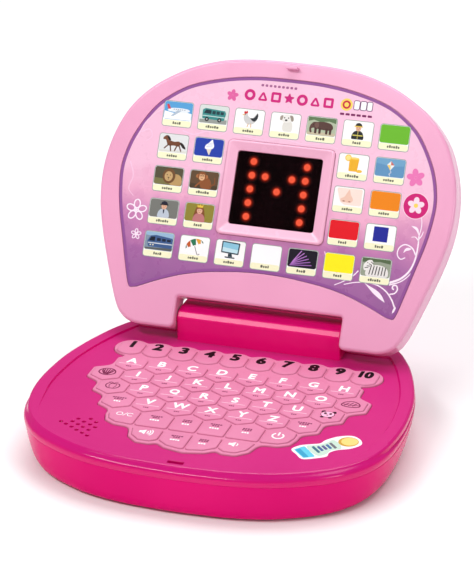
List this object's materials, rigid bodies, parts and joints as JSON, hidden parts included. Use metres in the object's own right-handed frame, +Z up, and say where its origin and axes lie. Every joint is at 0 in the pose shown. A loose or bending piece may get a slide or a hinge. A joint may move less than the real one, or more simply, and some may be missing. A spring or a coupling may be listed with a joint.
{
  "type": "toy laptop computer",
  "caption": "Clam-shell toy laptop with a rounded base, a hexagonal silicone keypad, and a hinged lid with a small lamp display in a picture sheet.",
  "frame": {"origin": "middle of the whole object's footprint with the lid open, on the surface it stands on", "axes": "+Z up, -Y towards the child who types, +X to the child's right"},
  "size_m": [0.2144, 0.2406, 0.1798],
  "materials": {
    "magenta_plastic": "moulded, glossy outside, satin deck",
    "light_pink_plastic": "moulded, satin gloss",
    "silicone": "matt silicone rubber with printed legends",
    "printed_sheet": "printed and laminated picture sheet",
    "display_window": "smoked clear plastic",
    "lamp_board": "black board with round red lamps",
    "circuit_board": "solder-mask green",
    "speaker": "paper cone in a steel basket",
    "cell_label": "plain wrapped cell",
    "wire": "insulated wire bundle",
    "steel": "zinc-plated"
  },
  "bodies": {
    "base": {"base_bottom_case": "magenta_plastic", "base_top_deck": "magenta_plastic", "base_screw_1": "steel", "base_screw_2": "steel", "base_screw_3": "steel", "base_screw_4": "steel", "keypad_mat": "silicone", "main_board": "circuit_board", "speaker": "speaker", "battery_cell_1": "cell_label", "battery_cell_2": "cell_label", "battery_cell_3": "cell_label", "display_cable_base_run": "wire"},
    "battery_door": {"battery_door": "magenta_plastic", "battery_door_screw": "steel"},
    "lid": {"lid_front_bezel": "light_pink_plastic", "lid_back_cover": "light_pink_plastic", "graphic_sheet": "printed_sheet", "display_window": "display_window", "led_matrix": "lamp_board", "display_cable": "wire"},
    "key_A": {"key_A": "silicone"},
    "key_B": {"key_B": "silicone"},
    "key_C": {"key_C": "silicone"},
    "key_D": {"key_D": "silicone"},
    "key_E": {"key_E": "silicone"},
    "key_F": {"key_F": "silicone"},
    "key_G": {"key_G": "silicone"},
    "key_H": {"key_H": "silicone"},
    "key_I": {"key_I": "silicone"},
    "key_J": {"key_J": "silicone"},
    "key_K": {"key_K": "silicone"},
    "key_L": {"key_L": "silicone"},
    "key_M": {"key_M": "silicone"},
    "key_N": {"key_N": "silicone"},
    "key_O": {"key_O": "silicone"},
    "key_P": {"key_P": "silicone"},
    "key_Q": {"key_Q": "silicone"},
    "key_R": {"key_R": "silicone"},
    "key_S": {"key_S": "silicone"},
    "key_T": {"key_T": "silicone"},
    "key_U": {"key_U": "silicone"},
    "key_V": {"key_V": "silicone"},
    "key_W": {"key_W": "silicone"},
    "key_X": {"key_X": "silicone"},
    "key_Y": {"key_Y": "silicone"},
    "key_Z": {"key_Z": "silicone"},
    "key_1": {"key_1": "silicone"},
    "key_2": {"key_2": "silicone"},
    "key_3": {"key_3": "silicone"},
    "key_4": {"key_4": "silicone"},
    "key_5": {"key_5": "silicone"},
    "key_6": {"key_6": "silicone"},
    "key_7": {"key_7": "silicone"},
    "key_8": {"key_8": "silicone"},
    "key_9": {"key_9": "silicone"},
    "key_10": {"key_10": "silicone"},
    "key_power": {"key_power": "silicone"},
    "key_volume_up": {"key_volume_up": "silicone"},
    "key_volume_down": {"key_volume_down": "silicone"}
  },
  "joints": [
    {"name": "battery_door_tilt", "type": "hinge", "parent": "base", "child": "battery_door", "pos_m": [0, 0.00478, 0.0003], "axis": [1, 0, 0], "range_deg": [0, 40]},
    {"name": "lid_hinge", "type": "hinge", "parent": "base", "child": "lid", "pos_m": [0, 0.03849, 0.04122], "axis": [1, 0, 0], "range_deg": [0, 119.35]},
    {"name": "press_key_A", "type": "slide", "parent": "base", "child": "key_A", "axis": [0, 0, -1], "range_m": [0, 0.0012], "stiffness_N_per_m": 400},
    {"name": "press_key_B", "type": "slide", "parent": "base", "child": "key_B", "axis": [0, 0, -1], "range_m": [0, 0.0012], "stiffness_N_per_m": 400},
    {"name": "press_key_C", "type": "slide", "parent": "base", "child": "key_C", "axis": [0, 0, -1], "range_m": [0, 0.0012], "stiffness_N_per_m": 400},
    {"name": "press_key_D", "type": "slide", "parent": "base", "child": "key_D", "axis": [0, 0, -1], "range_m": [0, 0.0012], "stiffness_N_per_m": 400},
    {"name": "press_key_E", "type": "slide", "parent": "base", "child": "key_E", "axis": [0, 0, -1], "range_m": [0, 0.0012], "stiffness_N_per_m": 400},
    {"name": "press_key_F", "type": "slide", "parent": "base", "child": "key_F", "axis": [0, 0, -1], "range_m": [0, 0.0012], "stiffness_N_per_m": 400},
    {"name": "press_key_G", "type": "slide", "parent": "base", "child": "key_G", "axis": [0, 0, -1], "range_m": [0, 0.0012], "stiffness_N_per_m": 400},
    {"name": "press_key_H", "type": "slide", "parent": "base", "child": "key_H", "axis": [0, 0, -1], "range_m": [0, 0.0012], "stiffness_N_per_m": 400},
    {"name": "press_key_I", "type": "slide", "parent": "base", "child": "key_I", "axis": [0, 0, -1], "range_m": [0, 0.0012], "stiffness_N_per_m": 400},
    {"name": "press_key_J", "type": "slide", "parent": "base", "child": "key_J", "axis": [0, 0, -1], "range_m": [0, 0.0012], "stiffness_N_per_m": 400},
    {"name": "press_key_K", "type": "slide", "parent": "base", "child": "key_K", "axis": [0, 0, -1], "range_m": [0, 0.0012], "stiffness_N_per_m": 400},
    {"name": "press_key_L", "type": "slide", "parent": "base", "child": "key_L", "axis": [0, 0, -1], "range_m": [0, 0.0012], "stiffness_N_per_m": 400},
    {"name": "press_key_M", "type": "slide", "parent": "base", "child": "key_M", "axis": [0, 0, -1], "range_m": [0, 0.0012], "stiffness_N_per_m": 400},
    {"name": "press_key_N", "type": "slide", "parent": "base", "child": "key_N", "axis": [0, 0, -1], "range_m": [0, 0.0012], "stiffness_N_per_m": 400},
    {"name": "press_key_O", "type": "slide", "parent": "base", "child": "key_O", "axis": [0, 0, -1], "range_m": [0, 0.0012], "stiffness_N_per_m": 400},
    {"name": "press_key_P", "type": "slide", "parent": "base", "child": "key_P", "axis": [0, 0, -1], "range_m": [0, 0.0012], "stiffness_N_per_m": 400},
    {"name": "press_key_Q", "type": "slide", "parent": "base", "child": "key_Q", "axis": [0, 0, -1], "range_m": [0, 0.0012], "stiffness_N_per_m": 400},
    {"name": "press_key_R", "type": "slide", "parent": "base", "child": "key_R", "axis": [0, 0, -1], "range_m": [0, 0.0012], "stiffness_N_per_m": 400},
    {"name": "press_key_S", "type": "slide", "parent": "base", "child": "key_S", "axis": [0, 0, -1], "range_m": [0, 0.0012], "stiffness_N_per_m": 400},
    {"name": "press_key_T", "type": "slide", "parent": "base", "child": "key_T", "axis": [0, 0, -1], "range_m": [0, 0.0012], "stiffness_N_per_m": 400},
    {"name": "press_key_U", "type": "slide", "parent": "base", "child": "key_U", "axis": [0, 0, -1], "range_m": [0, 0.0012], "stiffness_N_per_m": 400},
    {"name": "press_key_V", "type": "slide", "parent": "base", "child": "key_V", "axis": [0, 0, -1], "range_m": [0, 0.0012], "stiffness_N_per_m": 400},
    {"name": "press_key_W", "type": "slide", "parent": "base", "child": "key_W", "axis": [0, 0, -1], "range_m": [0, 0.0012], "stiffness_N_per_m": 400},
    {"name": "press_key_X", "type": "slide", "parent": "base", "child": "key_X", "axis": [0, 0, -1], "range_m": [0, 0.0012], "stiffness_N_per_m": 400},
    {"name": "press_key_Y", "type": "slide", "parent": "base", "child": "key_Y", "axis": [0, 0, -1], "range_m": [0, 0.0012], "stiffness_N_per_m": 400},
    {"name": "press_key_Z", "type": "slide", "parent": "base", "child": "key_Z", "axis": [0, 0, -1], "range_m": [0, 0.0012], "stiffness_N_per_m": 400},
    {"name": "press_key_1", "type": "slide", "parent": "base", "child": "key_1", "axis": [0, 0, -1], "range_m": [0, 0.0012], "stiffness_N_per_m": 400},
    {"name": "press_key_2", "type": "slide", "parent": "base", "child": "key_2", "axis": [0, 0, -1], "range_m": [0, 0.0012], "stiffness_N_per_m": 400},
    {"name": "press_key_3", "type": "slide", "parent": "base", "child": "key_3", "axis": [0, 0, -1], "range_m": [0, 0.0012], "stiffness_N_per_m": 400},
    {"name": "press_key_4", "type": "slide", "parent": "base", "child": "key_4", "axis": [0, 0, -1], "range_m": [0, 0.0012], "stiffness_N_per_m": 400},
    {"name": "press_key_5", "type": "slide", "parent": "base", "child": "key_5", "axis": [0, 0, -1], "range_m": [0, 0.0012], "stiffness_N_per_m": 400},
    {"name": "press_key_6", "type": "slide", "parent": "base", "child": "key_6", "axis": [0, 0, -1], "range_m": [0, 0.0012], "stiffness_N_per_m": 400},
    {"name": "press_key_7", "type": "slide", "parent": "base", "child": "key_7", "axis": [0, 0, -1], "range_m": [0, 0.0012], "stiffness_N_per_m": 400},
    {"name": "press_key_8", "type": "slide", "parent": "base", "child": "key_8", "axis": [0, 0, -1], "range_m": [0, 0.0012], "stiffness_N_per_m": 400},
    {"name": "press_key_9", "type": "slide", "parent": "base", "child": "key_9", "axis": [0, 0, -1], "range_m": [0, 0.0012], "stiffness_N_per_m": 400},
    {"name": "press_key_10", "type": "slide", "parent": "base", "child": "key_10", "axis": [0, 0, -1], "range_m": [0, 0.0012], "stiffness_N_per_m": 400},
    {"name": "press_key_power", "type": "slide", "parent": "base", "child": "key_power", "axis": [0, 0, -1], "range_m": [0, 0.0012], "stiffness_N_per_m": 400},
    {"name": "press_key_volume_up", "type": "slide", "parent": "base", "child": "key_volume_up", "axis": [0, 0, -1], "range_m": [0, 0.0012], "stiffness_N_per_m": 400},
    {"name": "press_key_volume_down", "type": "slide", "parent": "base", "child": "key_volume_down", "axis": [0, 0, -1], "range_m": [0, 0.0012], "stiffness_N_per_m": 400}
  ]
}
